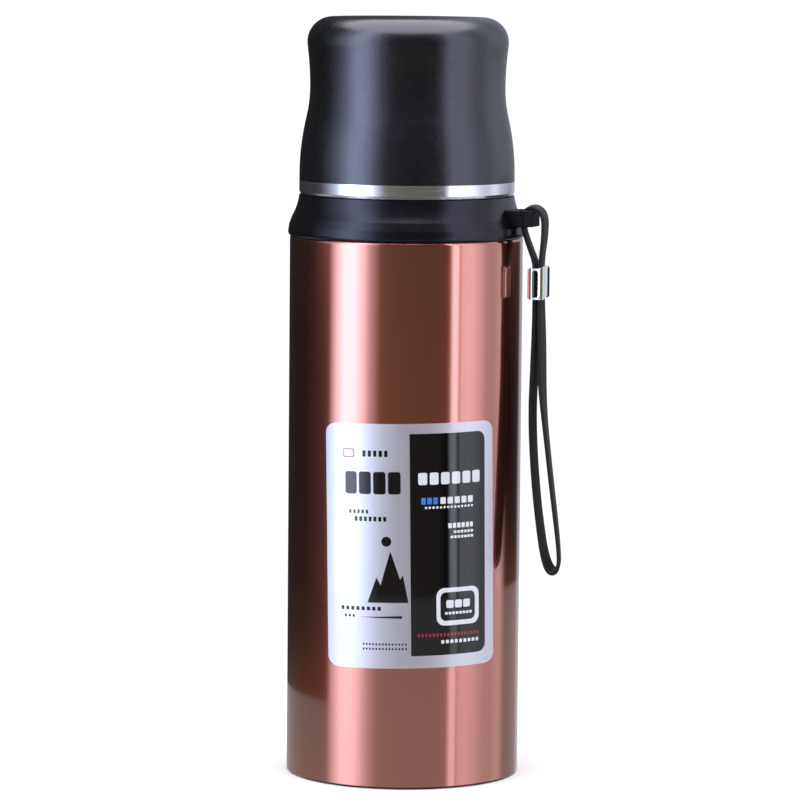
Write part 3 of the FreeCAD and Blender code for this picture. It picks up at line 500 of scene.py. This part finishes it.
def add_label_print():
    """Generic blocks, bars and a mountain, half on white and half on a black panel."""
    black = ink("ink_black", (0.002, 0.002, 0.003))
    white = ink("ink_white", (0.64, 0.64, 0.68))
    red = ink("ink_red", (0.28, 0.015, 0.04))
    blue = ink("ink_blue", (0.05, 0.16, 0.55))
    print_on_label("label_panel", [block(-0.8, 4.2, 27.15, 79.6, 0.1, 3.0)], black)
    peaks = [(-15.6, 22.4), (-12.4, 31.0), (-11.0, 28.4), (-7.6, 39.9), (-4.3, 30.2), (-3.4, 31.8),
             (-1.6, 22.4)]
    sun = [(-8.9 + 1.7 * math.cos(a), 43.2 + 1.7 * math.sin(a))
           for a in (i * math.tau / 24 for i in range(24))]
    wedge = [(-18.5, 17.45), (-3.8, 17.0), (-3.8, 17.95)]
    print_on_label("label_print_black", [
        *dashes(-17.0, 71.9, -7.5, 74.0, 5, 0.4),
        *dashes(-23.45, 59.2, -3.1, 66.8, 4, 0.16),
        *dashes(-22.0, 52.6, -14.4, 53.9, 5, 0.5),
        *dashes(-20.0, 50.0, -8.2, 51.6, 7, 0.4),
        peaks,
        sun,
        *dashes(-25.3, 19.7, -10.2, 21.0, 8, 0.4),
        *dashes(-24.0, 17.3, -19.5, 18.2, 3, 0.5),
        wedge,
        *dashes(-17.4, 7.9, -1.7, 8.6, 14, 0.5),
        *dashes(-17.4, 6.3, -1.7, 7.0, 14, 0.5),
    ], black)
    print_on_label("label_print_white", [
        *dashes(2.0, 62.3, 25.7, 66.4, 6, 0.22),
        *dashes(9.6, 55.65, 22.55, 57.95, 5),
        *dashes(4.2, 54.15, 22.45, 54.9, 14, 0.4),
        *dashes(12.4, 47.3, 22.3, 49.0, 6),
        *dashes(14.4, 45.5, 22.3, 46.4, 6),
        *dashes(13.2, 43.8, 22.3, 44.7, 7),
        block(8.0, 14.2, 24.3, 27.0, 2.8, 2.8),
        *dashes(9.6, 8.1, 24.6, 9.3, 9, 0.35),
    ], white, 2)
    print_on_label("label_print_blue", dashes(3.0, 55.65, 9.2, 57.95, 3), blue, 2)
    print_on_label("label_print_red", [
        *dashes(1.5, 10.6, 24.7, 11.6, 18, 0.45),
    ], red, 2)
    print_on_label("label_mark", [block(-24.4, 71.5, -20.0, 74.5, 0.8, 0.8)], red)
    print_on_label("label_mark_centre", [block(-24.1, 71.8, -20.3, 74.2, 0.7, 0.7)], white, 2)
    print_on_label("label_window", [block(9.4, 15.8, 22.6, 25.5, 1.9, 1.9)], black, 3)
    print_on_label("label_window_print", [
        *dashes(11.5, 20.1, 21.0, 22.8, 3, 0.15),
        *dashes(11.0, 17.9, 21.6, 18.8, 8),
    ], white, 4)


# Wrist strap

STRAP_WIDTH = 0.0050
STRAP_THICKNESS = 0.0014
SECTION_POINTS = 20
SECTION_POWER = 0.42   # of its rounded oblong: 1 is an ellipse, towards 0 is a rectangle
# The strap's middle line, as in the CAD part: millimetres from the axis, height, and the
# degrees that its width is turned about the line.
STRAP_ROUTE = [
    (48.75, 170.6, 0), (48.8, 178.0, 5), (49.95, 186.5, 0), (49.95, 194.3, -4), (46.0, 197.0, -7),
    (42.05, 194.6, -6), (42.3, 189.3, -5), (44.6, 183.0, -4), (47.15, 177.0, 0), (47.15, 168.8, 4),
    (47.3, 160.5, 8), (47.15, 152.5, 8), (46.75, 141.0, 8), (46.2, 127.0, 6), (46.8, 112.0, 6),
    (48.3, 96.0, 6), (50.0, 84.0, 7), (51.0, 78.6, 9), (52.2, 74.6, 14), (53.7, 72.15, 20),
    (55.35, 72.15, 20), (56.4, 74.6, 15), (56.3, 78.8, 14), (55.4, 87.0, 11), (53.5, 101.0, 8),
    (51.8, 114.5, 8), (50.3, 127.0, 2), (49.5, 138.0, -10), (49.4, 150.0, -8), (48.9, 162.0, -6),
    (48.75, 170.2, 0),
]
OUTWARD = Vector((math.cos(BRACKET_TURN), -math.sin(BRACKET_TURN), 0))
SIDEWAYS = Vector((math.sin(BRACKET_TURN), math.cos(BRACKET_TURN), 0))


def strap_line():
    """The strap's smooth middle line, as points and the turn of its width at each, in degrees."""
    data = bpy.data.curves.new("strap_line", "CURVE")
    data.dimensions = "3D"
    data.resolution_u = 10
    spline = data.splines.new("NURBS")
    spline.points.add(len(STRAP_ROUTE) - 1)
    for point, row in zip(spline.points, STRAP_ROUTE):
        point.co = (*row, 1)
    spline.order_u = 3
    spline.use_endpoint_u = True
    holder = link(bpy.data.objects.new("strap_line", data))
    line = bpy.data.meshes.new_from_object(holder)
    rows = [v.co.copy() for v in line.vertices]
    bpy.data.objects.remove(holder)
    points = [OUTWARD * row.x * MM + Vector((0, 0, row.y * MM)) for row in rows]
    return points, [row.z for row in rows]


# The sleeve's crimped wall from one edge of its slot round to the other: millimetres out from
# the strap's middle, millimetres sideways, and the heights of its lower and upper edges.
SLEEVE_WALL = [
    (0.5, -3.1, 165.0, 175.7), (1.4, -3.12, 165.0, 175.9), (2.15, -3.1, 165.0, 176.1),
    (2.5, -2.9, 165.1, 176.3), (3.3, -0.8, 166.0, 176.8), (3.4, 0.2, 166.2, 176.6),
    (3.3, 1.9, 166.0, 176.2), (2.6, 2.8, 165.6, 176.0), (0.0, 3.1, 165.4, 175.8),
    (-2.4, 2.9, 165.4, 175.8), (-3.3, 2.0, 165.4, 175.8), (-3.4, 0.0, 165.4, 175.6),
    (-3.4, -1.9, 165.4, 175.4), (-3.2, -2.3, 165.3, 175.4), (-2.0, -3.05, 165.0, 175.8),
    (-1.7, -3.1, 165.0, 175.8), (-0.95, -3.1, 165.0, 175.6),
]
SLEEVE_MIDDLE = 47.95   # millimetres from the axis
SLEEVE_ROWS = 14
SLEEVE_SHEET = 0.0005
SLEEVE_WAVE = 0.12      # millimetres that the slot's outer edge wanders


def add_sleeve(finish):
    """Folded sheet sleeve with a slot down its front."""
    bm = bmesh.new()
    rows = []
    for i in range(SLEEVE_ROWS + 1):
        rows.append([])
        for j, (out, side, low, high) in enumerate(SLEEVE_WALL):
            wave = SLEEVE_WAVE * (-1) ** i if j == 0 else 0
            place = OUTWARD * (SLEEVE_MIDDLE + out + wave) + SIDEWAYS * side
            height = low + (high - low) * i / SLEEVE_ROWS
            rows[-1].append(bm.verts.new((place + Vector((0, 0, height))) * MM))
    count = len(SLEEVE_WALL)
    for i in range(SLEEVE_ROWS):
        for j in range(count):
            in_slot = j == count - 1 and 0 < i < SLEEVE_ROWS - 1
            if not in_slot:
                around = (j + 1) % count
                bm.faces.new((rows[i][j], rows[i][around], rows[i + 1][around], rows[i + 1][j]))
    bmesh.ops.recalc_face_normals(bm, faces=bm.faces)
    sleeve = mesh_object("strap_sleeve_folded", bm, finish)
    sheet = sleeve.modifiers.new("sheet", "SOLIDIFY")
    sheet.thickness = SLEEVE_SHEET
    edge = sleeve.modifiers.new("edge", "BEVEL")
    edge.width = SLEEVE_SHEET / 4
    edge.segments = 2
    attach(sleeve, "strap")
    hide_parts("strap_sleeve")
    return sleeve


def strap_section():
    """Flat section with rounded edges: offsets across the width and through the thickness."""
    section = []
    for i in range(SECTION_POINTS):
        angle = math.tau * i / SECTION_POINTS
        across = math.cos(angle)
        through = math.sin(angle)
        section.append((STRAP_WIDTH / 2 * math.copysign(abs(across) ** SECTION_POWER, across),
                        STRAP_THICKNESS / 2 * math.copysign(abs(through) ** SECTION_POWER, through)))
    return section


def add_strap(finish, sleeve):
    """The strap as a flat tube along its line, its weave's coordinates in metres."""
    points, turns = strap_line()
    section = strap_section()
    bm = bmesh.new()
    weave = bm.loops.layers.uv.new("weave")
    rings = []
    along = [0.0]
    for i, point in enumerate(points):
        if i:
            along.append(along[-1] + (point - points[i - 1]).length)
        way = (points[min(i + 1, len(points) - 1)] - points[max(i - 1, 0)]).normalized()
        side = Matrix.Rotation(math.radians(turns[i]), 3, way) @ SIDEWAYS
        out = way.cross(side)
        rings.append([bm.verts.new(point + side * a + out * b) for a, b in section])
    count = len(section)
    for i in range(len(rings) - 1):
        for j in range(count):
            face = bm.faces.new((rings[i][j], rings[i][(j + 1) % count],
                                 rings[i + 1][(j + 1) % count], rings[i + 1][j]))
            corners = [(i, j), (i, j + 1), (i + 1, j + 1), (i + 1, j)]
            for loop, (row, column) in zip(face.loops, corners):
                girth = column / count * 2 * (STRAP_WIDTH + STRAP_THICKNESS)
                loop[weave].uv = (along[row], girth)
    for end in (rings[0], rings[-1]):
        bm.faces.new(end)
    bmesh.ops.recalc_face_normals(bm, faces=bm.faces)
    strap = mesh_object("wrist_strap_woven", bm, finish)
    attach(strap, "strap")
    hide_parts("wrist_strap")


bpy.context.scene.view_settings.view_transform = "Standard"
add_camera()
light_world()
add_table()
add_studio("studio_ring", 0, FLAG_HEIGHT, ring_light("studio_light", STUDIO_STOPS, STUDIO_GAIN))
add_studio("studio_upper", FLAG_HEIGHT, STUDIO_HEIGHT,
           ring_light("upper_light", UPPER_STOPS, STUDIO_GAIN))
add_table_image()
add_overhead()
finishes = dress_nodes()
squeeze_spring()
add_label_print()
add_strap(finishes["strap_webbing"], add_sleeve(finishes["sleeve_chrome"]))
